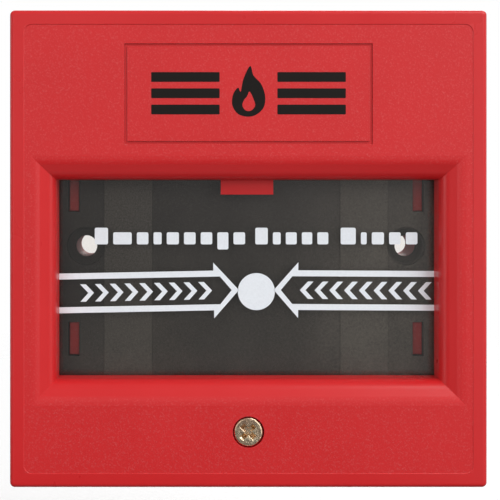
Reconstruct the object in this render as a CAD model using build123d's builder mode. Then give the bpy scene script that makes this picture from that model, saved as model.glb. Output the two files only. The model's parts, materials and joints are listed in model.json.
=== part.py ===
from build123d import *
import math
import os

# Manual call point, millimetres.
# +X is right and +Z is up as the user faces it; the wall is the plane y = 0 and the front is -Y.
# The origin is midway between the two wall screws, on the wall.
# A "height" is the distance out from the wall, so a point at height h has y = -h.

# ---- driving dimensions ----
PLATE = 86.0            # width and height of the square cover
DEPTH = 20.0            # wall to front face
WALL = 2.0              # side walls of the cover
FACE = 2.2              # thickness of the cover's face
COVER_BACK = 0.8        # the cover stops this far from the wall
CORNER = 0.9            # outer corner radius
RIM_WIDTH = 2.55        # smooth rim round the grained face
RIM_PROUD = 0.1         # the rim stands this far in front of the face
RIM_EDGE = 0.8          # rounding of the rim's outer edge

WINDOW_W = 69.8
WINDOW_BOTTOM = -23.92
WINDOW_TOP = 12.45
BEVEL_W = 4.3           # bevel round the window: a roll, a flat slope, then an arc into the face
BEVEL_SLOPE = 28.0      # angle between the flat slope and the face, in degrees
ROLL_W = 1.5
EASE_W = 1.6

PANEL_W = 44.7          # engraved outline above the window
PANEL_H = 18.1
PANEL_Z = 27.9
GROOVE_W = 0.52
GROOVE_DEEP = 0.35

TAB_W = 9.7             # tab that stops the pane's top edge
TAB_BOTTOM = 9.74
TAB_THICK = 1.3

PANE_FRONT = 13.15      # height of the pane's front
PANE_THICK = 1.0
PANE_HALF_W = 37.2
PANE_BOTTOM = -27.2
PANE_TOP = 17.0

SCREW_SPACING = 60.3    # wall screws, centre to centre
SCREW_HOLE_R = 2.0

COVER_SCREW_Z = -33.0
HEAD_R = 2.68
HEAD_TOP = 19.75
SHANK_R = 1.4
INSERT_TOP = 8.5
INSERT_LENGTH = 3.5

TRAY_FRONT = 10.85
TRAY_THICK = 1.5
TRAY_HALF_W = 35.85
TRAY_BOTTOM = -25.6
TRAY_TOP = 15.5
BAND_IN = 17.7
BAND_OUT = 26.7
BAND_PROUD = 0.25

HINGE_HEIGHT = 6.0      # the cover's hinge axis
HINGE_Z = 40.6
HINGE_X = 31.0
HINGE_PIN_R = 1.2
OPEN_ANGLE = 30.0

FLOOR = 2.0             # the base's floor
BASE_HALF_W = 40.4
BASE_BOTTOM = -40.4
BASE_TOP = 38.2

ROCKER_HEIGHT = 12.0    # the rocker's axle
ROCKER_Z = 21.5
AXLE_R = 1.0
HUB_R = 2.1
HUB_HALF = 7.6
POST_OUT = 9.8
SPRING_Z = 16.6

BOARD_BACK = 3.0        # circuit board
BOARD_THICK = 1.2
BOARD_TOP = BOARD_BACK + BOARD_THICK

SWITCH_W = 12.8         # subminiature microswitch, its button pointing down
SWITCH_H = 6.5
SWITCH_Z = 26.2
CASE_THICK = 5.0
LID_THICK = 0.8
CASE_WALL = 0.9
SWITCH_MID = BOARD_TOP + CASE_THICK / 2
SWITCH_FRONT = BOARD_TOP + CASE_THICK + LID_THICK
SWITCH_HOLES = [(-3.25, 30.9), (3.25, 30.9)]
LEVER_PIVOT = (-5.4, 25.72)
BLADE_PIVOT_X = -4.9
BLADE_Z = 27.95
CONTACT_X = 4.4

POLES = 3               # terminal block
PITCH = 5.0
BLOCK_X = 10.4
BLOCK_Z = (-37.5, -29.3)
BLOCK_HIGH = 10.0
CAGE_MID_Z = -32.6
LEDGE = 13.0            # the terminal screw's head rests here
POLE_X = [BLOCK_X + PITCH * (i + 0.5) for i in range(POLES)]

BOARD_SCREWS = [(18.0, 34.5), (18.0, 5.0), (18.0, -25.0)]
CLIP_X = (31.6, 33.3)   # base posts that stand in the tray's slots
CLIP_TOP = 9.7
CLIP_Z = [(-20.5, -14.5), (6.7, 12.7)]
ENTRY = (-9.0, 9.0, -20.0, -8.0)

os.makedirs("parts", exist_ok=True)


# ---- helpers: each works in the part that is being built ----
def at(height):
    """The plane at this height, with local x to the right and local y up."""
    return Plane.XZ.offset(height)


def slab(x, h, z, mode=Mode.ADD):
    """A box between two x, two heights and two z."""
    with Locations(((x[0] + x[1]) / 2, -(h[0] + h[1]) / 2, (z[0] + z[1]) / 2)):
        Box(x[1] - x[0], h[1] - h[0], z[1] - z[0], mode=mode)


def post(x, z, radius, h, mode=Mode.ADD):
    """A round bar square to the wall, between two heights."""
    with BuildSketch(at(h[0])) as circle:
        with Locations((x, z)):
            Circle(radius)
    extrude(circle.sketch, amount=h[1] - h[0], mode=mode)


def bar(height, z, radius, x, mode=Mode.ADD):
    """A round bar along x."""
    with BuildSketch(Plane.YZ.offset(x[0])) as circle:
        with Locations((-height, z)):
            Circle(radius)
    extrude(circle.sketch, amount=x[1] - x[0], mode=mode)


def side_profile(points, x, mode=Mode.ADD):
    """A flat-sided outline of (height, z) points, extruded along x."""
    with BuildSketch(Plane.YZ.offset(x[0])) as outline:
        with BuildLine():
            Polyline([(-h, z) for h, z in points], close=True)
        make_face()
    extrude(outline.sketch, amount=x[1] - x[0], mode=mode)


def upright(x, radius, z, mode=Mode.ADD):
    """A round bar along z, in the middle of the switch's thickness."""
    with BuildSketch(Plane.XY.offset(z[0])) as circle:
        with Locations((x, -SWITCH_MID)):
            Circle(radius)
    extrude(circle.sketch, amount=z[1] - z[0], mode=mode)


def pair(x):
    """The two mirrored spans of x, right then left."""
    return [(x[0], x[1]), (-x[1], -x[0])]


def write(name, part):
    part.part.label = name
    export_step(part.part, f"parts/{name}.step")


# ---- window: two prisms with a rolled edge, crossed, so that its corners are mitred ----
window_z = (WINDOW_BOTTOM + WINDOW_TOP) / 2
window_h = WINDOW_TOP - WINDOW_BOTTOM
flange_back = PANE_FRONT + 0.05
face_front = DEPTH - RIM_PROUD
slope = math.radians(BEVEL_SLOPE)
flat_w = BEVEL_W - ROLL_W - EASE_W
roll_r = ROLL_W / (1 - math.sin(slope))
flat_top = face_front - EASE_W * math.tan(slope / 2)
roll_start = flat_top - flat_w * math.tan(slope) - roll_r * math.cos(slope)


def prism(plane, half, mode=Mode.ADD):
    """Bar with the opening's width, rolled out to the face; the plane's local y is the row's y."""
    outer = half + BEVEL_W
    with BuildSketch(plane) as outline:
        with BuildLine():
            roll = CenterArc((half + roll_r, -roll_start), roll_r, start_angle=180, arc_size=90 - BEVEL_SLOPE)
            flat = Line(roll @ 1, (outer - EASE_W, -flat_top))
            ease = TangentArc(flat @ 1, (outer, -face_front), tangent=flat % 1)
            Polyline(ease @ 1, (outer, -DEPTH - 1), (0, -DEPTH - 1), (0, -8), (half, -8), roll @ 0)
        make_face()
        mirror(about=Plane.YZ)
    extrude(outline.sketch, amount=PLATE / 2, both=True, mode=mode)


with BuildPart() as window:
    prism(Plane.XY, WINDOW_W / 2)
    prism(Plane(origin=(0, 0, window_z), x_dir=(0, 0, 1), z_dir=(-1, 0, 0)), window_h / 2, Mode.INTERSECT)

# ---- front cover ----
inner = PLATE / 2 - WALL
face_back = DEPTH - FACE
face_w = PLATE - 2 * RIM_WIDTH - 0.2
boss_end = 12.8         # inner end of the cover's screw boss
rail_back = 10.05

with BuildPart() as front_cover:
    with BuildSketch(at(COVER_BACK)):
        RectangleRounded(PLATE, PLATE, CORNER)
    extrude(amount=DEPTH - COVER_BACK)
    fillet(front_cover.edges().group_by(Axis.Y)[0], RIM_EDGE)
    # the face is sunk inside the rim, with a sloping step
    with BuildSketch(at(face_front)):
        RectangleRounded(face_w, face_w, 1.4)
    extrude(amount=RIM_PROUD, taper=-45, mode=Mode.SUBTRACT)
    slab((-inner, inner), (0, face_back), (-inner, inner), Mode.SUBTRACT)
    # tube round the window, and the flange that the pane rests against
    tube = WINDOW_W / 2 + WALL
    slab((-tube, tube), (flange_back, face_back + 0.5), (WINDOW_BOTTOM - WALL, WINDOW_TOP + WALL))
    slab((-39, 39), (flange_back, flange_back + 1.2), (-28.7, 18))
    add(window.part, mode=Mode.SUBTRACT)
    # rails at the pane's sides, with two clips each behind the pane
    for rail in pair((37.5, 39.0)):
        slab(rail, (rail_back, flange_back), (-28.7, PANE_TOP))
    for clip in pair((36.2, 37.5)):
        for z in ((-22.0, -16.0), (5.0, 11.0)):
            slab(clip, (rail_back, 11.05), z)
    # groove that the pane's bottom edge stands in
    slab((-36.5, 36.5), (11.0, flange_back), (-28.7, -27.4))
    slab((-36.5, 36.5), (11.0, 12.0), (-28.7, -26.4))
    # tab over the pane's top edge
    slab((-TAB_W / 2, TAB_W / 2), (flange_back, flange_back + TAB_THICK), (TAB_BOTTOM, WINDOW_TOP + 1))
    # boss, recess and bore for the cover screw
    post(0, COVER_SCREW_Z, 4.0, (boss_end, face_back))
    post(0, COVER_SCREW_Z, 2.825, (18.0, DEPTH + 1), Mode.SUBTRACT)
    post(0, COVER_SCREW_Z, 1.6, (boss_end, DEPTH), Mode.SUBTRACT)
    # engraved panel
    with BuildSketch(at(face_front - GROOVE_DEEP)):
        with Locations((0, PANEL_Z)):
            Rectangle(PANEL_W, PANEL_H)
            Rectangle(PANEL_W - 2 * GROOVE_W, PANEL_H - 2 * GROOVE_W, mode=Mode.SUBTRACT)
    extrude(amount=1, mode=Mode.SUBTRACT)
    # two hinge pins, each between a pair of ribs under the top wall
    for side in (-HINGE_X, HINGE_X):
        bar(HINGE_HEIGHT, HINGE_Z, HINGE_PIN_R, (side - 3.6, side + 3.6))
        for rib in ((side - 3.6, side - 2.2), (side + 2.2, side + 3.6)):
            slab(rib, (HINGE_HEIGHT - 1.5, HINGE_HEIGHT + 1.5), (HINGE_Z - 1.3, inner + 0.2))
write("front_cover", front_cover)

# ---- pane ----
pane_r = PANE_THICK / 2

with BuildPart() as break_pane:
    # the pane tips about its bottom edge, which is rounded and stands in the cover's groove
    bar(PANE_FRONT - pane_r, PANE_BOTTOM + pane_r, pane_r, (-PANE_HALF_W, PANE_HALF_W))
    slab((-PANE_HALF_W, PANE_HALF_W), (PANE_FRONT - PANE_THICK, PANE_FRONT), (PANE_BOTTOM + pane_r, PANE_TOP))
    chamfer(break_pane.edges().filter_by(Axis.Y).group_by(Axis.Z)[-1], 0.6)
write("break_pane", break_pane)

# ---- cover screw, its retaining washer and the insert it threads into ----
with BuildPart() as cover_screw:
    post(0, COVER_SCREW_Z, HEAD_R, (18.0, HEAD_TOP))
    fillet(cover_screw.edges().sort_by(Axis.Y)[0], 0.4)
    post(0, COVER_SCREW_Z, SHANK_R, (INSERT_TOP - INSERT_LENGTH, 18.0))
    chamfer(cover_screw.edges().sort_by(Axis.Y)[-1], 0.35)
    # cross recess with a shallow lead-in round its mouth
    cross = ((HEAD_TOP, 3.6, 1.1), (HEAD_TOP - 0.16, 3.1, 0.75), (HEAD_TOP - 1.3, 1.6, 0.5))
    for height, reach, wide in cross:
        with BuildSketch(at(height)):
            with Locations(Location((0, COVER_SCREW_Z), 45)):
                Rectangle(reach, wide)
                Rectangle(wide, reach)
    loft(ruled=True, mode=Mode.SUBTRACT)
write("cover_screw", cover_screw)

with BuildPart() as retaining_washer:
    post(0, COVER_SCREW_Z, 2.7, (8.7, 9.1))
    post(0, COVER_SCREW_Z, SHANK_R + 0.04, (8.7, 9.1), Mode.SUBTRACT)
write("retaining_washer", retaining_washer)

with BuildPart() as screw_insert:
    post(0, COVER_SCREW_Z, 2.3, (INSERT_TOP - INSERT_LENGTH, INSERT_TOP))
    post(0, COVER_SCREW_Z, SHANK_R + 0.1, (INSERT_TOP - INSERT_LENGTH, INSERT_TOP), Mode.SUBTRACT)
write("screw_insert", screw_insert)

# ---- base ----
boss_top = 9.0          # wall-screw bosses, under the tray's recesses
rib_top = 6.0
open_slope = math.tan(math.radians(OPEN_ANGLE))


def swept_z(height):
    """How high the base may reach behind the hinge, under the cover's top wall when it is open."""
    rise = (inner - HINGE_Z) / math.cos(math.radians(OPEN_ANGLE))
    return HINGE_Z + rise - (HINGE_HEIGHT - height) * open_slope - 0.2


with BuildPart() as base_plate:
    base_mid = (BASE_BOTTOM + BASE_TOP) / 2
    base_tall = BASE_TOP - BASE_BOTTOM
    with BuildSketch(at(0)):
        with Locations((0, base_mid)):
            RectangleRounded(2 * BASE_HALF_W, base_tall, 1.5)
    extrude(amount=rib_top)
    with BuildSketch(at(FLOOR)):
        with Locations((0, base_mid)):
            RectangleRounded(2 * BASE_HALF_W - 3.2, base_tall - 3.2, 0.6)
    extrude(amount=rib_top, mode=Mode.SUBTRACT)
    for side in (-SCREW_SPACING / 2, SCREW_SPACING / 2):
        post(side, 0, 4.3, (FLOOR, boss_top))
        post(side, 0, SCREW_HOLE_R, (0, boss_top), Mode.SUBTRACT)
    for x in pair(CLIP_X):
        for z in CLIP_Z:
            slab(x, (FLOOR, CLIP_TOP), z)
    # cover-screw boss with a pocket for the insert
    post(0, COVER_SCREW_Z, 3.8, (FLOOR, INSERT_TOP))
    post(0, COVER_SCREW_Z, 2.3, (INSERT_TOP - INSERT_LENGTH, INSERT_TOP), Mode.SUBTRACT)
    post(0, COVER_SCREW_Z, 1.6, (1.0, INSERT_TOP), Mode.SUBTRACT)
    # cable entry
    slab(ENTRY[:2], (0, FLOOR), ENTRY[2:], Mode.SUBTRACT)
    # posts for the rocker's axle, and the spigot inside the return spring
    for x in pair((POST_OUT - 1.8, POST_OUT)):
        slab(x, (FLOOR, ROCKER_HEIGHT + 2.2), (ROCKER_Z - 2.2, ROCKER_Z + 2.2))
    bar(ROCKER_HEIGHT, ROCKER_Z, AXLE_R, (-POST_OUT, POST_OUT), Mode.SUBTRACT)
    post(0, SPRING_Z, 1.2, (FLOOR, 4.0))
    # bosses under the board, and pilot holes for its screws and the switch's
    for x, z in SWITCH_HOLES + BOARD_SCREWS:
        post(x, z, 2.2, (FLOOR, BOARD_BACK))
        post(x, z, 0.98, (0.8, BOARD_BACK), Mode.SUBTRACT)
    # hinge lugs, each with an open cradle for a pin
    for side in (-HINGE_X, HINGE_X):
        outline = [
            (FLOOR, 32.0), (9.2, 32.0), (9.2, inner - 0.15), (7.0, inner - 0.15), (HINGE_HEIGHT, HINGE_Z),
            (4.6, swept_z(4.6)), (3.2, swept_z(3.2)), (3.2, BASE_TOP), (FLOOR, BASE_TOP),
        ]
        side_profile(outline, (side - 1.8, side + 1.8))
        bar(HINGE_HEIGHT, HINGE_Z, HINGE_PIN_R + 0.06, (side - 1.8, side + 1.8), Mode.SUBTRACT)
write("base_plate", base_plate)

# ---- tray ----
tray_back = TRAY_FRONT - TRAY_THICK
recess_floor = TRAY_FRONT - 0.9

with BuildPart() as inner_tray:
    slab((-TRAY_HALF_W, TRAY_HALF_W), (tray_back, TRAY_FRONT), (TRAY_BOTTOM, TRAY_TOP))
    for x in pair((BAND_IN, BAND_OUT)):
        slab(x, (TRAY_FRONT, TRAY_FRONT + BAND_PROUD), (TRAY_BOTTOM, TRAY_TOP))
    for x in pair((TRAY_HALF_W - 1, TRAY_HALF_W)):
        slab(x, (5.0, tray_back), (TRAY_BOTTOM, TRAY_TOP))
    slab((-TRAY_HALF_W, TRAY_HALF_W), (6.5, tray_back), (TRAY_BOTTOM, TRAY_BOTTOM + 1))
    for side in (-SCREW_SPACING / 2, SCREW_SPACING / 2):
        post(side, 0, 4.3, (boss_top, tray_back))
        post(side, 0, 3.6, (recess_floor, TRAY_FRONT + 1), Mode.SUBTRACT)
        post(side, 0, SCREW_HOLE_R, (boss_top, TRAY_FRONT), Mode.SUBTRACT)
    for x in pair((CLIP_X[0] - 0.2, CLIP_X[1] + 0.2)):
        for low, high in CLIP_Z:
            slab(x, (tray_back, TRAY_FRONT), (low - 0.2, high + 0.2), Mode.SUBTRACT)
    slab((-4.2, 4.2), (0, TRAY_FRONT), (11.5, TRAY_TOP), Mode.SUBTRACT)
write("inner_tray", inner_tray)

# ---- rocker: its nose stands behind the pane, its arm under the switch's lever ----
nose_z = 14.5
nose_r = 0.8
arm_x = (4.4, 6.6)
arm_z = 24.08
arm_r = 0.7

with BuildPart() as rocker:
    bar(ROCKER_HEIGHT, ROCKER_Z, HUB_R, (-HUB_HALF, HUB_HALF))
    side_profile([(10.45, 13.7), (11.75, 13.7), (11.75, 21.0), (10.45, 21.0)], (-2.8, 2.8))
    bar(PANE_FRONT - PANE_THICK - 0.1 - nose_r, nose_z, nose_r, (-2.8, 2.8))
    side_profile(
        [(12.0, 19.9), (SWITCH_MID, arm_z - arm_r), (SWITCH_MID, arm_z + arm_r), (11.4, 23.5)], arm_x
    )
    bar(SWITCH_MID, arm_z, arm_r, arm_x)
    bar(ROCKER_HEIGHT, ROCKER_Z, AXLE_R + 0.05, (-HUB_HALF, HUB_HALF), Mode.SUBTRACT)
write("rocker", rocker)

with BuildPart() as rocker_axle:
    bar(ROCKER_HEIGHT, ROCKER_Z, AXLE_R, (-POST_OUT, POST_OUT))
    chamfer(rocker_axle.edges().filter_by(GeomType.CIRCLE), 0.2)
write("rocker_axle", rocker_axle)

wire_r = 0.2
with BuildPart() as return_spring:
    with BuildLine() as coil:
        Helix(pitch=1.3, height=7.8, radius=1.6, center=(0, -FLOOR - wire_r, SPRING_Z), direction=(0, -1, 0))
    with BuildSketch(Plane(origin=coil.line @ 0, z_dir=coil.line % 0)):
        Circle(wire_r)
    sweep()
write("return_spring", return_spring)

# ---- microswitch ----
half_case = SWITCH_W / 2
case_back = BOARD_TOP + CASE_WALL
case_top = SWITCH_Z + SWITCH_H
cavity_x = half_case - CASE_WALL
cavity_z = (SWITCH_Z + CASE_WALL, case_top - CASE_WALL)
button_x = 0.8
button_r = 0.7
strip_h = (SWITCH_MID - 1.1, SWITCH_MID + 1.1)
tag_z = 33.6            # where the terminals turn back to the board
tag_end = 2.4

with BuildPart() as switch_case:
    slab((-half_case, half_case), (BOARD_TOP, SWITCH_FRONT - LID_THICK), (SWITCH_Z, case_top))
    slab((-cavity_x, cavity_x), (case_back, SWITCH_FRONT), cavity_z, Mode.SUBTRACT)
    for x, z in SWITCH_HOLES:
        post(x, z, 1.5, (BOARD_TOP, SWITCH_FRONT - LID_THICK))
        post(x, z, 1.05, (BOARD_TOP, SWITCH_FRONT), Mode.SUBTRACT)
    # slots for the terminals, and the button's guide
    for x in pair((cavity_x - 0.45, cavity_x)):
        slab(x, (strip_h[0] - 0.05, SWITCH_FRONT - LID_THICK), (cavity_z[1], case_top), Mode.SUBTRACT)
    slab((-0.65, 0.65), (case_back, case_back + 0.35), (cavity_z[1], case_top), Mode.SUBTRACT)
    upright(button_x, button_r + 0.05, (SWITCH_Z - 0.5, cavity_z[0] + 0.1), Mode.SUBTRACT)
    # ears for the lever's pin
    for h in ((BOARD_TOP, SWITCH_MID - 1.6), (SWITCH_MID + 1.6, SWITCH_FRONT - LID_THICK)):
        slab((LEVER_PIVOT[0] - 0.9, LEVER_PIVOT[0] + 0.9), h, (LEVER_PIVOT[1] - 0.8, SWITCH_Z))
        post(*LEVER_PIVOT, 0.35, h, Mode.SUBTRACT)
write("switch_case", switch_case)

with BuildPart() as switch_lid:
    slab((-half_case, half_case), (SWITCH_FRONT - LID_THICK, SWITCH_FRONT), (SWITCH_Z, case_top))
    for x, z in SWITCH_HOLES:
        post(x, z, 1.05, (SWITCH_FRONT - LID_THICK, SWITCH_FRONT), Mode.SUBTRACT)
write("switch_lid", switch_lid)

with BuildPart() as switch_button:
    upright(button_x, button_r, (25.62, BLADE_Z - 0.22))
    upright(button_x, button_r + 0.35, (cavity_z[0] + 0.03, cavity_z[0] + 0.25))
write("switch_button", switch_button)

lever_slope = math.degrees(math.atan(0.0611))
with BuildPart() as switch_lever:
    post(*LEVER_PIVOT, 0.42, (SWITCH_MID - 1.4, SWITCH_MID + 1.4))
    post(*LEVER_PIVOT, 0.3, (BOARD_TOP + 0.1, SWITCH_FRONT - LID_THICK - 0.1))
    with BuildSketch(at(SWITCH_MID - 1.4)):
        with Locations(Location(LEVER_PIVOT, -lever_slope)):
            Rectangle(12.8, 0.35, align=(Align.MIN, Align.CENTER))
    extrude(amount=2.8)
write("switch_lever", switch_lever)

with BuildPart() as switch_blade:
    blade_h = (SWITCH_MID - 1.0, SWITCH_MID + 1.2)
    post(BLADE_PIVOT_X, BLADE_Z, 0.16, blade_h)
    slab((BLADE_PIVOT_X, CONTACT_X + 0.6), blade_h, (BLADE_Z - 0.1, BLADE_Z + 0.1))
    upright(CONTACT_X, 0.55, (BLADE_Z - 0.35, BLADE_Z + 0.35))
write("switch_blade", switch_blade)

side_strip = (cavity_x - 0.4, cavity_x - 0.05)


def side_terminal(x, bottom):
    """Strip up one side of the case, then a leg back through the board."""
    slab(x, strip_h, (bottom, tag_z))
    mid = (x[0] + x[1]) / 2
    slab((mid - 0.4, mid + 0.4), (tag_end, strip_h[1]), (tag_z, tag_z + 0.8))


with BuildPart() as switch_common_terminal:
    side_terminal(pair(side_strip)[1], cavity_z[0] + 0.1)
write("switch_common_terminal", switch_common_terminal)

with BuildPart() as switch_open_terminal:
    side_terminal(side_strip, 29.1)
    slab((3.7, side_strip[1]), strip_h, (29.1, 29.35))
    upright(CONTACT_X, 0.55, (28.87, 29.2))
write("switch_open_terminal", switch_open_terminal)

with BuildPart() as switch_closed_terminal:
    slab((-0.6, 0.6), (case_back + 0.05, case_back + 0.3), (27.15, tag_z + 0.8))
    slab((-0.6, 4.95), (case_back + 0.05, case_back + 0.3), (27.15, 28.2))
    slab((3.85, 4.95), (case_back + 0.05, SWITCH_MID + 0.6), (27.15, 27.4))
    slab((-0.4, 0.4), (tag_end, case_back + 0.3), (tag_z, tag_z + 0.8))
    upright(CONTACT_X, 0.55, (27.3, 27.57))
write("switch_closed_terminal", switch_closed_terminal)


def small_screw(x, z, seat):
    """M2 pan-head screw into the base, its head on a seat at this height."""
    post(x, z, 1.8, (seat, seat + 1.2))
    post(x, z, 0.98, (1.0, seat))
    slab((x - 1.1, x + 1.1), (seat + 0.5, seat + 1.2), (z - 0.25, z + 0.25), Mode.SUBTRACT)
    slab((x - 0.25, x + 0.25), (seat + 0.5, seat + 1.2), (z - 1.1, z + 1.1), Mode.SUBTRACT)


with BuildPart() as switch_screws:
    for x, z in SWITCH_HOLES:
        small_screw(x, z, SWITCH_FRONT)
write("switch_screws", switch_screws)

with BuildPart() as board_screws:
    for x, z in BOARD_SCREWS:
        small_screw(x, z, BOARD_TOP)
write("board_screws", board_screws)

# ---- circuit board ----
bar_pin = (-36.4, -35.6)
with BuildPart() as circuit_board:
    slab((-8.5, 25.4), (BOARD_BACK, BOARD_TOP), (25.0, 36.2))
    slab((BLOCK_X, 25.4), (BOARD_BACK, BOARD_TOP), (-38.2, 25.0))
    for x, z in SWITCH_HOLES + BOARD_SCREWS:
        post(x, z, 1.1, (BOARD_BACK, BOARD_TOP), Mode.SUBTRACT)
    for x in (-(cavity_x - 0.225), 0, cavity_x - 0.225):
        post(x, tag_z + 0.4, 0.65, (BOARD_BACK, BOARD_TOP), Mode.SUBTRACT)
    for x in POLE_X:
        post(x, sum(bar_pin) / 2, 0.65, (BOARD_BACK, BOARD_TOP), Mode.SUBTRACT)
write("circuit_board", circuit_board)

# ---- terminal block: in each pole a screw lifts a cage that clamps the wire under a bar ----
cage_z = (CAGE_MID_Z - 2.0, CAGE_MID_Z + 2.0)
cage_h = (7.6, 12.2)
cage_wall = 0.6
bar_h = (8.5, 9.0)

with BuildPart() as terminal_housing:
    slab((BLOCK_X, BLOCK_X + POLES * PITCH), (BOARD_TOP, BOARD_TOP + BLOCK_HIGH), BLOCK_Z)
    for x in POLE_X:
        slab((x - 1.95, x + 1.95), (5.6, cage_h[1] + 0.1), (cage_z[0] - 0.1, cage_z[1] + 0.1), Mode.SUBTRACT)
        slab((x - 1.5, x + 1.5), (6.4, 8.6), (cage_z[1], BLOCK_Z[1] + 1), Mode.SUBTRACT)
        slab((x - 1.1, x + 1.1), (BOARD_TOP, bar_h[1] + 0.05), (bar_pin[0] - 0.1, cage_z[0]), Mode.SUBTRACT)
        post(x, CAGE_MID_Z, 1.3, (cage_h[1], LEDGE), Mode.SUBTRACT)
        post(x, CAGE_MID_Z, 1.85, (LEDGE, BOARD_TOP + BLOCK_HIGH), Mode.SUBTRACT)
write("terminal_housing", terminal_housing)

for number, x in enumerate(POLE_X, start=1):
    with BuildPart() as terminal_screw:
        post(x, CAGE_MID_Z, 1.75, (LEDGE, LEDGE + 1.1))
        post(x, CAGE_MID_Z, 1.2, (bar_h[1] + 0.1, LEDGE))
        slot_h = (LEDGE + 0.5, LEDGE + 1.1)
        slab((x - 1.8, x + 1.8), slot_h, (CAGE_MID_Z - 0.3, CAGE_MID_Z + 0.3), Mode.SUBTRACT)
    write(f"terminal_screw_{number}", terminal_screw)

    with BuildPart() as terminal_clamp:
        slab((x - 1.8, x + 1.8), cage_h, cage_z)
        through = (x - 1.8 + cage_wall, x + 1.8 - cage_wall)
        slab(through, (8.4, 11.0), (cage_z[0] - 1, cage_z[1] + 1), Mode.SUBTRACT)
        post(x, CAGE_MID_Z, 1.25, (11.0, cage_h[1]), Mode.SUBTRACT)
    write(f"terminal_clamp_{number}", terminal_clamp)

    with BuildPart() as terminal_bar:
        slab((x - 1.0, x + 1.0), bar_h, (bar_pin[0], cage_z[1] - 0.3))
        slab((x - 0.4, x + 0.4), (tag_end, bar_h[1]), bar_pin)
    write(f"terminal_bar_{number}", terminal_bar)
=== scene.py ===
"""Looks of the manual call point: materials, printed marks, return spring, camera and light."""
import json
import math

import bpy
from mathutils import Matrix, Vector

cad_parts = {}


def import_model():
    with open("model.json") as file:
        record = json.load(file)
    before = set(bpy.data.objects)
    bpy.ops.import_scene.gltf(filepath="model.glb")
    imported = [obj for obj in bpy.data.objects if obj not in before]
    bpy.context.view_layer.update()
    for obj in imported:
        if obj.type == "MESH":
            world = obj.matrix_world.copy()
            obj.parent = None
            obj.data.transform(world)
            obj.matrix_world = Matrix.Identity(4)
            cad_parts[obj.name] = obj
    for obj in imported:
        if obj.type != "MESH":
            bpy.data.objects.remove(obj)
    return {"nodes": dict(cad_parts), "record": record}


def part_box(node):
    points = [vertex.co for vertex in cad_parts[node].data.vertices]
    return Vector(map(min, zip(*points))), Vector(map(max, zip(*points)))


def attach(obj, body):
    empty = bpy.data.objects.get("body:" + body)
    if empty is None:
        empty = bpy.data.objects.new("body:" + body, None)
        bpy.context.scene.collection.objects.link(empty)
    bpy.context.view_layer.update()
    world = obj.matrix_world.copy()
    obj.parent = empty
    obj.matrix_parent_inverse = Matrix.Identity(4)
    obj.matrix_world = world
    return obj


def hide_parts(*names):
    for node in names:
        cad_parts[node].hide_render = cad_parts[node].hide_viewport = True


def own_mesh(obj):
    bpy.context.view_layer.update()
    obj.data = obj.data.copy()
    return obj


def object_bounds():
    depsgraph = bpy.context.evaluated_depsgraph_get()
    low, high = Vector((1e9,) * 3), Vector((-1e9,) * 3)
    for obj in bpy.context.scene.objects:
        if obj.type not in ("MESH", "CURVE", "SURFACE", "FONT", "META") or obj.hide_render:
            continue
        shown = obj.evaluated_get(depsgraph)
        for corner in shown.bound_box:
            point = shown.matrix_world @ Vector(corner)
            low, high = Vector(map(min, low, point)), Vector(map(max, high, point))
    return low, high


MM = 0.001

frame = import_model()
nodes = frame["nodes"]
cad_low, cad_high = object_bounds()
scene = bpy.context.scene

# Places read from the frame, in millimetres. A height is the distance out from the wall.
rim_height = -cad_low.y / MM
plate_half = cad_high.x / MM
pane_front = -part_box("break_pane")[0].y / MM
spring_low, spring_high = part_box("return_spring")

# Sizes in millimetres that the frame doesn't name. Those of the CAD are as in part.py.
RIM_WIDTH = 2.55                # smooth rim round the grained face
RIM_PROUD = 0.1                 # the rim stands this far in front of the face
BAND = (17.7, 26.7)             # a tray band's inner and outer edge, from the middle
WALL_SCREW_X = 30.15            # each wall screw, from the middle
RECESS_R = 3.6                  # recess round it in the tray
INK = 0.03                      # thickness of the printed marks
INK_GAP = 0.004                 # keeps a mark's back off the surface it is printed on
FLOOR_DROP = 40                 # the floor's depth below the wall-hung object
FLOOR_HALF = 1600               # half the floor's side
CAMERA_LEFT = 9.6               # the camera's place: left of the middle of the face,
CAMERA_UP = 10.95               # above it
CAMERA_AWAY = 190               # and in front of it


# ---------------------------------------------------------------- material kit
def material(name):
    mat = bpy.data.materials.new(name)
    mat.use_nodes = True
    return mat, mat.node_tree, mat.node_tree.nodes["Principled BSDF"]


def node(nt, kind, inputs=None, out=0, **settings):
    """Adds a node and returns one of its outputs. Each input is a value or another node's output."""
    made = nt.nodes.new("ShaderNode" + kind)
    for key, value in settings.items():
        setattr(made, key, value)
    for key, value in (inputs or {}).items():
        if isinstance(value, bpy.types.NodeSocket):
            nt.links.new(value, made.inputs[key])
        else:
            made.inputs[key].default_value = value
    return made.outputs[out]


def place(nt):
    """The point on the object, in metres."""
    return node(nt, "TexCoord", out="Object")


def axes(nt, vector):
    """A vector's parts, by the names X, Y and Z."""
    return node(nt, "SeparateXYZ", {0: vector}).node.outputs


def math_node(nt, operation, a, b=0.0):
    return node(nt, "Math", {0: a, 1: b}, operation=operation)


def vector_math(nt, operation, a, b=(0.0, 0.0, 0.0), out="Value"):
    return node(nt, "VectorMath", {0: a, 1: b}, out=out, operation=operation)


def remap(nt, value, low, high, start=0.3, end=0.7):
    """value's span from start to end becomes low to high, and stays there outside it."""
    return node(nt, "MapRange", {
        "Value": value, "From Min": start, "From Max": end, "To Min": low, "To Max": high,
    })


def noise(nt, size, detail=2.0, stretch=None):
    """Noise whose patches are about this many millimetres; stretch scales the place along each axis."""
    where = place(nt)
    if stretch:
        where = vector_math(nt, "MULTIPLY", where, stretch, out="Vector")
    return node(nt, "TexNoise", {
        "Vector": where, "Scale": 1 / (size * MM), "Detail": detail, "Roughness": 0.55,
    })


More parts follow.
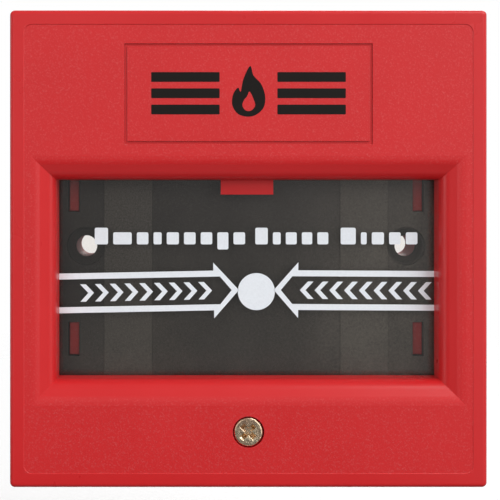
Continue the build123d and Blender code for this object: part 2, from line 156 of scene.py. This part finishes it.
def blend_colour(nt, fac, a, b):
    """Colour a where fac is 0 and b where it is 1."""
    a, b = (c if isinstance(c, bpy.types.NodeSocket) else (*c, 1) for c in (a, b))
    return node(nt, "Mix", {0: fac, 6: a, 7: b}, out=2, data_type="RGBA")


def tint(colour, factor):
    return tuple(min(1.0, c * factor) for c in colour)


def paler(colour, share):
    """The colour, this share of the way to white."""
    return tuple(c + (1 - c) * share for c in colour)


def edges(nt, radius):
    """Rounded normal for crisp edges, and a mask that is 1 on them."""
    rounded = node(nt, "Bevel", {"Radius": radius * MM}, samples=4)
    flat = node(nt, "NewGeometry", out="Normal")
    agree = vector_math(nt, "DOT_PRODUCT", rounded, flat)
    return rounded, remap(nt, agree, 1.0, 0.0, 0.80, 0.995)


def relief(nt, shader, height, depth, normal=None):
    """Bump of this depth in millimetres."""
    inputs = {"Height": height, "Strength": 1.0, "Distance": depth * MM}
    if normal is not None:
        inputs["Normal"] = normal
    nt.links.new(node(nt, "Bump", inputs), shader.inputs["Normal"])


# ---------------------------------------------------------------- materials
MOULDED_EDGE = 0.12             # radius in millimetres that a moulded edge is worn to
METAL_EDGE = 0.08               # and a metal one
POLISH = 0.12                   # how much less rough a moulding is where it has no grain
TOOL_MARKS = 0.25               # how strongly a metal's marks darken it


def moulded(
    name, colour, rough, grain=0.3, depth=0.012, tone=0.05, edge_highlight=0.12, grained=None, specular=0.5,
):
    """Moulded plastic: fine grain, slow drift in tone and gloss, and a patchy painted highlight that
    makes the edges a little paler.
    grained makes a mask that is 1 where the mould was textured; elsewhere the surface is polished."""
    mat, nt, shader = material(name)
    slow = noise(nt, 16, 3)
    fine = noise(nt, grain, 3)
    rounded, rim = edges(nt, MOULDED_EDGE)
    flecks = remap(nt, fine, 0.0, 1.0, 0.52, 0.78)
    height = fine
    gloss = remap(nt, slow, rough - 0.04, rough + 0.05)
    sparkle = remap(nt, fine, -0.05, 0.05)
    if grained:
        mask = grained(nt)
        flecks = math_node(nt, "MULTIPLY", flecks, mask)
        height = math_node(nt, "MULTIPLY", fine, mask)
        gloss = math_node(nt, "SUBTRACT", gloss, remap(nt, mask, POLISH, 0.0, 0.0, 1.0))
        sparkle = math_node(nt, "MULTIPLY", sparkle, mask)
    body = blend_colour(nt, remap(nt, slow, 0, 1), tint(colour, 1 - tone), tint(colour, 1 + tone))
    body = blend_colour(nt, math_node(nt, "MULTIPLY", flecks, 0.4), body, paler(colour, 0.10))
    # painted highlight: the edges are painted paler in patches, as if they caught the light
    painted_edge_highlight = math_node(nt, "MULTIPLY", rim, remap(nt, noise(nt, 2.5, 4), 0.0, edge_highlight, 0.42, 0.70))
    body = blend_colour(nt, painted_edge_highlight, body, paler(colour, 0.45))
    nt.links.new(body, shader.inputs["Base Color"])
    nt.links.new(math_node(nt, "ADD", gloss, sparkle), shader.inputs["Roughness"])
    shader.inputs["Specular IOR Level"].default_value = specular
    relief(nt, shader, height, depth, rounded)
    return mat


def metal(name, colour, other, rough, stretch=None, size=0.6, depth=0.004):
    """Plated or drawn metal: tool marks along one direction, a tone that drifts to the other colour,
    and a painted highlight that brightens the edges."""
    mat, nt, shader = material(name)
    marks = noise(nt, size, 4, stretch)
    slow = noise(nt, 3.0, 3)
    rounded, rim = edges(nt, METAL_EDGE)
    dark = math_node(nt, "MULTIPLY", remap(nt, marks, 0, 1), TOOL_MARKS)
    body = blend_colour(nt, remap(nt, slow, 0, 1, 0.38, 0.62), colour, other)
    body = blend_colour(nt, dark, body, tint(colour, 0.55))
    # painted highlight: the edges are painted brighter
    body = blend_colour(nt, math_node(nt, "MULTIPLY", rim, 0.6), body, tint(colour, 1.25))
    nt.links.new(body, shader.inputs["Base Color"])
    nt.links.new(remap(nt, marks, rough - 0.07, rough + 0.10), shader.inputs["Roughness"])
    shader.inputs["Metallic"].default_value = 1.0
    relief(nt, shader, marks, depth, rounded)
    return mat


def ink(name, colour, rough, specular):
    """Screen-printed ink: nearly even, with a faint mottle."""
    mat, nt, shader = material(name)
    mottle = noise(nt, 0.35, 3)
    body = blend_colour(nt, remap(nt, mottle, 0, 1), tint(colour, 0.96), tint(colour, 1.02))
    nt.links.new(body, shader.inputs["Base Color"])
    nt.links.new(remap(nt, noise(nt, 4, 2), rough - 0.05, rough + 0.08), shader.inputs["Roughness"])
    shader.inputs["Specular IOR Level"].default_value = specular
    relief(nt, shader, mottle, 0.003)
    return mat


def face_mask(nt):
    """1 on the grained face, 0 on the smooth rim, the sides and the window's bevel."""
    at = axes(nt, place(nt))
    border = plate_half - RIM_WIDTH
    reach = math_node(
        nt, "MAXIMUM", math_node(nt, "ABSOLUTE", at["X"]), math_node(nt, "ABSOLUTE", at["Z"])
    )
    inside = remap(nt, reach, 1.0, 0.0, (border - 0.15) * MM, (border + 0.05) * MM)
    front = remap(nt, at["Y"], 1.0, 0.0, (-rim_height + 0.2) * MM, (-rim_height + 0.6) * MM)
    return math_node(nt, "MULTIPLY", inside, front)


def tray_material():
    """Matt black tray with two greyer bands, painted shade in the recesses round the wall screws, and a
    paler film of painted light that grows outwards and towards the lower right, broken up into clouds
    and specks."""
    mat = moulded(
        "tray_black_matt", (0.023, 0.0205, 0.019), 0.60, grain=0.28, depth=0.02, tone=0.15, edge_highlight=0.05
    )
    nt = mat.node_tree
    shader = nt.nodes["Principled BSDF"]
    black = shader.inputs["Base Color"].links[0].from_socket
    at = axes(nt, place(nt))
    across = math_node(nt, "ABSOLUTE", at["X"])

    # painted light: the tray is painted paler outwards and towards the lower right, in clouds and
    # specks
    lower_right = vector_math(nt, "DOT_PRODUCT", place(nt), (0.4, 0.0, -0.6))
    painted_light_lower_right = remap(nt, lower_right, 0.0, 1.0, -9 * MM, 13 * MM)
    outwards = remap(nt, across, 0.45, 1.0, 0.5 * BAND[0] * MM, BAND[0] * MM)
    clouds = remap(nt, noise(nt, 5, 5), 0.5, 0.8)
    specks = remap(nt, noise(nt, 0.45, 3), -0.25, 0.25)
    painted_light_film = math_node(
        nt, "MULTIPLY", math_node(nt, "MULTIPLY", painted_light_lower_right, outwards),
        math_node(nt, "ADD", clouds, specks),
    )
    body = blend_colour(nt, painted_light_film, black, (0.135, 0.124, 0.110))

    # painted shade: the recesses round the wall screws are painted darker than the bare black tray, and
    # the paler film is kept out of them
    off_x = math_node(nt, "SUBTRACT", across, WALL_SCREW_X * MM)
    off_hole = vector_math(nt, "LENGTH", node(nt, "CombineXYZ", {0: off_x, 2: at["Z"]}))
    recess = remap(nt, off_hole, 0.75, 0.0, (RECESS_R - 0.5) * MM, (RECESS_R + 0.1) * MM)
    body = blend_colour(nt, recess, body, (0.010, 0.009, 0.008))

    inner = remap(nt, across, 0.0, 1.0, (BAND[0] - 0.05) * MM, (BAND[0] + 0.05) * MM)
    outer = remap(nt, across, 1.0, 0.0, (BAND[1] - 0.05) * MM, (BAND[1] + 0.05) * MM)
    band = math_node(nt, "MULTIPLY", inner, outer)
    flecks = remap(nt, noise(nt, 0.3, 3), 0.06, 0.30)
    body = blend_colour(nt, math_node(nt, "MULTIPLY", band, flecks), body, (0.26, 0.245, 0.22))
    nt.links.new(body, shader.inputs["Base Color"])
    return mat


def pane_material():
    """Clear acrylic: a faint mirror over whatever lies behind, with slight smears."""
    mat, nt, shader = material("pane_acrylic")
    smear = noise(nt, 9, 4, (1.0, 1.0, 0.35))
    mirror = node(nt, "Fresnel", {"IOR": 1.49})
    haze = remap(nt, smear, 0.0, 0.012)
    through = node(nt, "BsdfTransparent", {"Color": (0.93, 0.91, 0.89, 1)})
    mixed = node(nt, "MixShader", {
        0: math_node(nt, "ADD", mirror, haze), 1: through, 2: shader.outputs[0],
    })
    nt.links.new(mixed, nt.nodes["Material Output"].inputs["Surface"])
    nt.links.new(remap(nt, smear, 0.03, 0.12), shader.inputs["Roughness"])
    tone = blend_colour(nt, remap(nt, smear, 0, 1), (0.93, 0.96, 0.97), (1, 1, 1))
    nt.links.new(tone, shader.inputs["Base Color"])
    shader.inputs["Metallic"].default_value = 1.0
    return mat


def board_material():
    """Green solder mask with copper tracks under it and a glass-fibre edge."""
    mat, nt, shader = material("board_laminate")
    at = axes(nt, place(nt))
    tracks = node(nt, "TexBrick", {
        "Vector": node(nt, "CombineXYZ", {0: at["X"], 1: at["Z"]}), "Scale": 1 / MM,
        "Mortar Size": 0.22, "Mortar Smooth": 0.1, "Brick Width": 6.5, "Row Height": 3.1,
        "Color1": (0, 0, 0, 1), "Color2": (0, 0, 0, 1), "Mortar": (1, 1, 1, 1),
    })
    weave = noise(nt, 0.5, 2)
    mask = (0.012, 0.115, 0.045)
    body = blend_colour(nt, remap(nt, weave, 0, 1), tint(mask, 0.85), tint(mask, 1.15))
    body = blend_colour(nt, math_node(nt, "MULTIPLY", tracks, 0.8), body, (0.035, 0.24, 0.08))
    normal = axes(nt, node(nt, "NewGeometry", out="Normal"))
    edge = math_node(nt, "LESS_THAN", math_node(nt, "ABSOLUTE", normal["Y"]), 0.5)
    body = blend_colour(nt, edge, body, (0.30, 0.27, 0.13))
    nt.links.new(body, shader.inputs["Base Color"])
    nt.links.new(remap(nt, weave, 0.22, 0.34), shader.inputs["Roughness"])
    relief(nt, shader, tracks, 0.035)
    return mat


finishes = {                    # by the record's material slots
    "cover_red": moulded(
        "cover_red_grained", (0.560, 0.016, 0.018), 0.42, grain=0.30, depth=0.020, tone=0.02,
        grained=face_mask, specular=0.3,
    ),
    "base_red": moulded("base_red_satin", (0.42, 0.014, 0.016), 0.42, grain=0.45, depth=0.006),
    "pane_clear": pane_material(),
    "tray_black": tray_material(),
    "yellow_zinc": metal(
        "yellow_zinc_plate", (0.85, 0.69, 0.48), (0.66, 0.43, 0.29), 0.17, size=0.55, depth=0.09
    ),
    "steel": metal("zinc_plated_steel", (0.62, 0.62, 0.63), (0.52, 0.53, 0.56), 0.28, size=0.4),
    "spring_steel": metal(
        "drawn_wire", (0.55, 0.55, 0.57), (0.45, 0.45, 0.47), 0.26, (1, 0.2, 1), 0.25
    ),
    "brass": metal(
        "turned_brass", (0.72, 0.53, 0.24), (0.60, 0.42, 0.18), 0.26, (0.15, 1, 0.15), 0.12
    ),
    "contact_bronze": metal(
        "rolled_bronze", (0.66, 0.44, 0.26), (0.55, 0.36, 0.22), 0.30, (1, 1, 0.15), 0.1
    ),
    "tinned": metal("tin_plate", (0.72, 0.73, 0.75), (0.62, 0.63, 0.66), 0.33, size=0.5),
    "rocker_white": moulded(
        "natural_acetal", (0.74, 0.72, 0.66), 0.38, grain=0.5, depth=0.005, tone=0.03
    ),
    "switch_black": moulded(
        "glass_filled_black", (0.018, 0.018, 0.020), 0.40, grain=0.18, depth=0.010, tone=0.15
    ),
    "button_red": moulded("button_red", (0.50, 0.02, 0.015), 0.25, grain=0.3, depth=0.003),
    "board_green": board_material(),
    "terminal_green": moulded(
        "terminal_green", (0.030, 0.22, 0.085), 0.40, grain=0.35, depth=0.006
    ),
}
black_ink = ink("black_ink", (0.010, 0.008, 0.007), 0.55, 0.12)
white_ink = ink("white_ink", (0.76, 0.80, 0.84), 0.55, 0.3)
for part in frame["record"]["subparts"]:
    mesh = nodes[part["node"]].data
    mesh.materials.clear()
    mesh.materials.append(finishes[part["material_slot"]])


# ---------------------------------------------------------------- printed marks
def baked(curve):
    """The mesh of a curve."""
    obj = bpy.data.objects.new(curve.name, curve)
    mesh = bpy.data.meshes.new_from_object(obj)
    bpy.data.objects.remove(obj)
    return mesh


def filled(outlines):
    """Mesh of one flat mark of closed (x, z) outlines in millimetres, where an outline inside another
    is a hole."""
    curve = bpy.data.curves.new("mark", "CURVE")
    curve.dimensions = "2D"
    curve.fill_mode = "BOTH"
    curve.extrude = INK * MM / 2
    for outline in outlines:
        spline = curve.splines.new("POLY")
        spline.points.add(len(outline) - 1)
        for point, (x, z) in zip(spline.points, outline):
            point.co = (x * MM, z * MM, 0, 1)
        spline.use_cyclic_u = True
    return baked(curve)


def printed(name, marks, height, mat, body):
    """A piece made of flat marks, each a list of outlines, printed on a surface at this height."""
    points, faces = [], []
    middle = -(height + INK_GAP + INK / 2) * MM
    for outlines in marks:
        flat = filled(outlines)
        first = len(points)
        points += [(x, middle - out, z) for x, z, out in (v.co for v in flat.vertices)]
        faces += [[first + i for i in face.vertices] for face in flat.polygons]
        bpy.data.meshes.remove(flat)
    mesh = bpy.data.meshes.new(name)
    mesh.from_pydata(points, [], faces)
    obj = bpy.data.objects.new(name, mesh)
    scene.collection.objects.link(obj)
    mesh.materials.append(mat)
    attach(obj, body)


def block(x, z, radius, steps=4):
    """A rectangle between two x and two z, with rounded corners."""
    points = []
    centres_x = (x[1] - radius, x[0] + radius, x[0] + radius, x[1] - radius)
    centres_z = (z[1] - radius, z[1] - radius, z[0] + radius, z[0] + radius)
    for quarter, (mid_x, mid_z) in enumerate(zip(centres_x, centres_z)):
        for i in range(steps + 1):
            angle = math.radians(90 * (quarter + i / steps))
            points.append((mid_x + radius * math.cos(angle), mid_z + radius * math.sin(angle)))
    return points


def turned(points, centre, degrees):
    """The points turned anticlockwise about a centre."""
    c, s = math.cos(math.radians(degrees)), math.sin(math.radians(degrees))
    out = []
    for x, z in points:
        dx, dz = x - centre[0], z - centre[1]
        out.append((centre[0] + dx * c - dz * s, centre[1] + dx * s + dz * c))
    return out


def circle(x, z, radius, steps=64):
    angles = [2 * math.pi * i / steps for i in range(steps)]
    return [(x + radius * math.cos(angle), z + radius * math.sin(angle)) for angle in angles]


def smooth(points, steps=6):
    """A closed Catmull-Rom curve through the points."""
    out = []
    count = len(points)
    for i in range(count):
        p0, p1, p2, p3 = (Vector(points[(i + k - 1) % count]) for k in range(4))
        for step in range(steps):
            t = step / steps
            v = 0.5 * (2 * p1 + (p2 - p0) * t + (2 * p0 - 5 * p1 + 4 * p2 - p3) * t**2
                       + (3 * p1 - p0 - 3 * p2 + p3) * t**3)
            out.append((v.x, v.y))
    return out


DOT = (1.8, -8.35)              # centre of the dot on the pane
DOT_R = 3.45
ARROW_Z = -8.05                 # axis of the two arrows
RAIL_OUT, RAIL_IN = 3.70, 2.58  # outer and inner edge of an arrow's outline, from its axis
BARB = 5.2                      # a barb's end, from the axis
KNEE = 0.83                     # run over rise of the inner outline's point
CHEVRONS = 9
CHEVRON_START = 0.3             # from the barb to the first one's point
CHEVRON_PITCH = 2.75
ARROWS = (                      # barb's x, inner apex's x, tip's x, far end's x, tilt in degrees
    (-6.15, -2.8, -1.45, -36.0, 1.1),
    (9.6, 6.35, 5.05, 36.0, -0.3),
)


def chevron(front, into, half_height=1.62, lean=1.5, thick=1.05):
    """An arrowhead stroke whose point is at x = front, pointing the way of into."""
    back = front - into * lean
    return [
        (front, 0), (back, half_height), (back - into * thick, half_height),
        (front - into * thick, 0), (back - into * thick, -half_height), (back, -half_height),
    ]


def arrow_marks():
    """The dot, and two outlined arrows that point at it, with a row of chevrons inside each."""
    marks = [[circle(*DOT, DOT_R)]]
    for barb_x, apex_x, tip_x, end_x, tilt in ARROWS:
        into = 1 if tip_x > barb_x else -1
        knee_x = apex_x - into * (RAIL_IN * KNEE)
        half = [(end_x, RAIL_OUT), (barb_x, RAIL_OUT), (barb_x, BARB)]
        inner = [
            (end_x, -RAIL_IN), (knee_x, -RAIL_IN), (apex_x, 0), (knee_x, RAIL_IN), (end_x, RAIL_IN),
        ]
        shapes = [half + [(tip_x, 0)] + [(x, -z) for x, z in reversed(half)] + inner]
        for i in range(CHEVRONS):
            shapes.append(chevron(barb_x - into * (CHEVRON_START + CHEVRON_PITCH * i), into))
        for shape in shapes:
            lifted = [(x, z + ARROW_Z) for x, z in shape]
            marks.append([turned(lifted, (tip_x, ARROW_Z), tilt)])
    return marks


def title_marks():
    """Three words' worth of plain blocks in place of the pane's heading, some taller or deeper than
    the rest."""
    words = (                   # first and last x, each block's share of the width, the deep ones
        (-28.3, -0.3, (1.15, 1.6, 1.0, 0.7, 1.05, 1.0, 1.0, 0.95, 1.0), (7,)),
        (1.6, 15.2, (1.2, 0.75, 1.05, 1.0, 1.05), ()),
        (17.5, 31.8, (1.3, 0.5, 1.05, 1.0, 1.0), ()),
    )
    base, capital, small, deep = 0.45, 3.55, 2.7, -0.5
    gap = 0.95
    corner = 0.3
    marks = []
    for start, end, widths, low in words:
        unit = (end - start - gap * (len(widths) - 1)) / sum(widths)
        x = start
        for i, width in enumerate(widths):
            wide = unit * width
            z = (deep if i in low else base, small if i else capital)
            marks.append([block((x, x + wide), z, corner)])
            x += wide + gap
    return marks


def panel_marks():
    """A flame between two stacks of bars."""
    middle = 28.0
    flame = [
        (0.3, 4.9), (0.9, 3.2), (2.3, 1.6), (3.0, -0.6), (2.7, -2.6), (1.3, -3.9), (-0.3, -4.2),
        (-1.9, -3.7), (-2.9, -2.2), (-2.8, -0.3), (-1.9, 1.0), (-1.4, 0.3), (-0.9, 2.6),
    ]
    heart = [
        (0.2, 0.3), (0.9, -1.0), (1.2, -2.2), (0.5, -3.1), (-0.5, -3.1), (-1.1, -2.2), (-0.8, -1.2),
        (-0.3, -0.6),
    ]
    marks = [[smooth([(x, z + middle) for x, z in shape]) for shape in (flame, heart)]]
    tall, bar, rows = 7.6, 1.75, 3
    corner = 0.15
    pitch = (tall - bar) / (rows - 1)
    for i in range(rows):
        low = middle - tall / 2 + i * pitch
        for x in ((-17.5, -5.2), (5.2, 17.5)):
            marks.append([block(x, (low, low + bar), corner)])
    return marks


printed("pane_arrows", arrow_marks(), pane_front, white_ink, "pane")
printed("pane_heading", title_marks(), pane_front, white_ink, "pane")
printed("cover_flame", panel_marks(), rim_height - RIM_PROUD, black_ink, "cover")


# ---------------------------------------------------------------- return spring
def spring():
    """Coil with closed ends that stands in for the plain one."""
    wire = 0.2                  # its radius
    radius = (spring_high.x - spring_low.x) / MM / 2 - wire
    base = -spring_high.y / MM + wire
    tall = (spring_high.y - spring_low.y) / MM - 2 * wire
    mid_z = (spring_low.z + spring_high.z) / MM / 2
    turns = 6.0
    closed = 0.9                # turns at each end that lie flat on the next
    flat = closed * 2 * wire    # height that they take
    steps = 150
    curve = bpy.data.curves.new("coil", "CURVE")
    curve.dimensions = "3D"
    curve.bevel_depth = wire * MM
    curve.bevel_resolution = 3
    curve.use_fill_caps = True
    spline = curve.splines.new("POLY")
    spline.points.add(steps)
    for i, point in enumerate(spline.points):
        turn = turns * i / steps
        if turn < closed:
            rise = 2 * wire * turn
        elif turn > turns - closed:
            rise = tall - 2 * wire * (turns - turn)
        else:
            rise = flat + (tall - 2 * flat) * (turn - closed) / (turns - 2 * closed)
        angle = 2 * math.pi * turn
        x, z = radius * math.cos(angle), mid_z + radius * math.sin(angle)
        point.co = (x * MM, -(base + rise) * MM, z * MM, 1)
    mesh = baked(curve)
    mesh.shade_smooth()
    mesh.materials.append(finishes["spring_steel"])
    obj = bpy.data.objects.new("return_spring_coil", mesh)
    scene.collection.objects.link(obj)
    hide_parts("return_spring")
    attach(obj, "base")
    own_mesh(obj)


spring()


# ---------------------------------------------------------------- camera, light and floor
def camera():
    """A long lens, level, a little left of and above the middle of the face."""
    data = bpy.data.cameras.new("camera")
    data.sensor_width = 36
    data.lens = 76.08
    data.shift_x = 0.1097
    data.shift_y = -0.124
    data.clip_start = 0.01
    data.clip_end = 20
    obj = bpy.data.objects.new("camera", data)
    obj.location = (-CAMERA_LEFT * MM, cad_low.y - CAMERA_AWAY * MM, CAMERA_UP * MM)
    obj.rotation_euler = (math.radians(90), 0, 0)
    scene.collection.objects.link(obj)
    scene.camera = obj


def world():
    """Soft surroundings, brighter above and to the right. Past the object the camera sees white."""
    surroundings = bpy.data.worlds.new("world")
    scene.world = surroundings
    surroundings.use_nodes = True
    nt = surroundings.node_tree
    nt.nodes.clear()
    direction = node(nt, "TexCoord", out="Generated")
    toward = vector_math(nt, "DOT_PRODUCT", direction, (0.55, 0.0, 0.84))
    ramp = remap(nt, toward, 0.14, 1.0, -0.5, 0.7)
    soft = node(nt, "Background", {"Color": ramp, "Strength": 0.62})
    white = node(nt, "Background", {"Color": (1, 1, 1, 1)})
    seen = node(nt, "LightPath", out="Is Camera Ray")
    mixed = node(nt, "MixShader", {0: seen, 1: soft, 2: white})
    nt.links.new(mixed, nt.nodes.new("ShaderNodeOutputWorld").inputs["Surface"])


def softbox(name, position, size, power, mirrored=True):
    """An area light that faces the object; mirrored says if glossy surfaces show it."""
    data = bpy.data.lights.new(name, "AREA")
    data.shape = "RECTANGLE"
    data.size, data.size_y = size
    data.energy = power
    obj = bpy.data.objects.new(name, data)
    obj.location = position
    obj.rotation_euler = (-Vector(position)).to_track_quat("-Z", "Y").to_euler()
    obj.visible_glossy = mirrored
    scene.collection.objects.link(obj)


def floor():
    """Pale floor some way under the object, which hangs on a wall. It fades into the white round about
    and hides nothing from below."""
    half = FLOOR_HALF * MM
    z = cad_low.z - FLOOR_DROP * MM
    corners = [(-half, -half, z), (half, -half, z), (half, half, z), (-half, half, z)]
    mesh = bpy.data.meshes.new("floor")
    mesh.from_pydata(corners, [], [(0, 1, 2, 3)])
    obj = bpy.data.objects.new("floor", mesh)
    scene.collection.objects.link(obj)
    obj.visible_diffuse = False
    obj.visible_glossy = False
    mat, nt, shader = material("floor")
    shader.inputs["Base Color"].default_value = (0.95, 0.95, 0.95, 1)
    shader.inputs["Roughness"].default_value = 0.9
    shader.inputs["Specular IOR Level"].default_value = 0.1
    near = remap(nt, vector_math(nt, "LENGTH", place(nt)), 1.0, 0.0, 0.12, 0.5)
    above = math_node(nt, "SUBTRACT", 1.0, node(nt, "NewGeometry", out="Backfacing"))
    nt.links.new(math_node(nt, "MULTIPLY", near, above), shader.inputs["Alpha"])
    mesh.materials.append(mat)


camera()
world()
# Places and sizes in metres, power in watts. The pane mirrors only what lies nearly in front of the
# object, so the mirrored ones stand clear of there.
softbox("key", (0.36, -0.37, 0.50), (0.4, 0.4), 2.65)
softbox("fill", (-0.1, -0.6, 0.18), (0.5, 0.5), 0.95, mirrored=False)
softbox("left", (-1.0, -0.2, 0.05), (0.5, 0.6), 1.9)
softbox("right", (1.0, -0.15, 0.05), (0.5, 0.6), 1.3)
softbox("below", (-0.1, -0.45, -0.80), (0.8, 0.4), 0.55)
softbox("front_left", (-0.52, -1.0, 0.10), (0.40, 0.9), 1.45)
softbox("front_right", (0.52, -1.0, 0.05), (0.36, 0.9), 2.15)
softbox("back", (0.3, 0.8, 0.6), (0.6, 0.6), 4.0)
floor()
scene.view_settings.view_transform = "Standard"
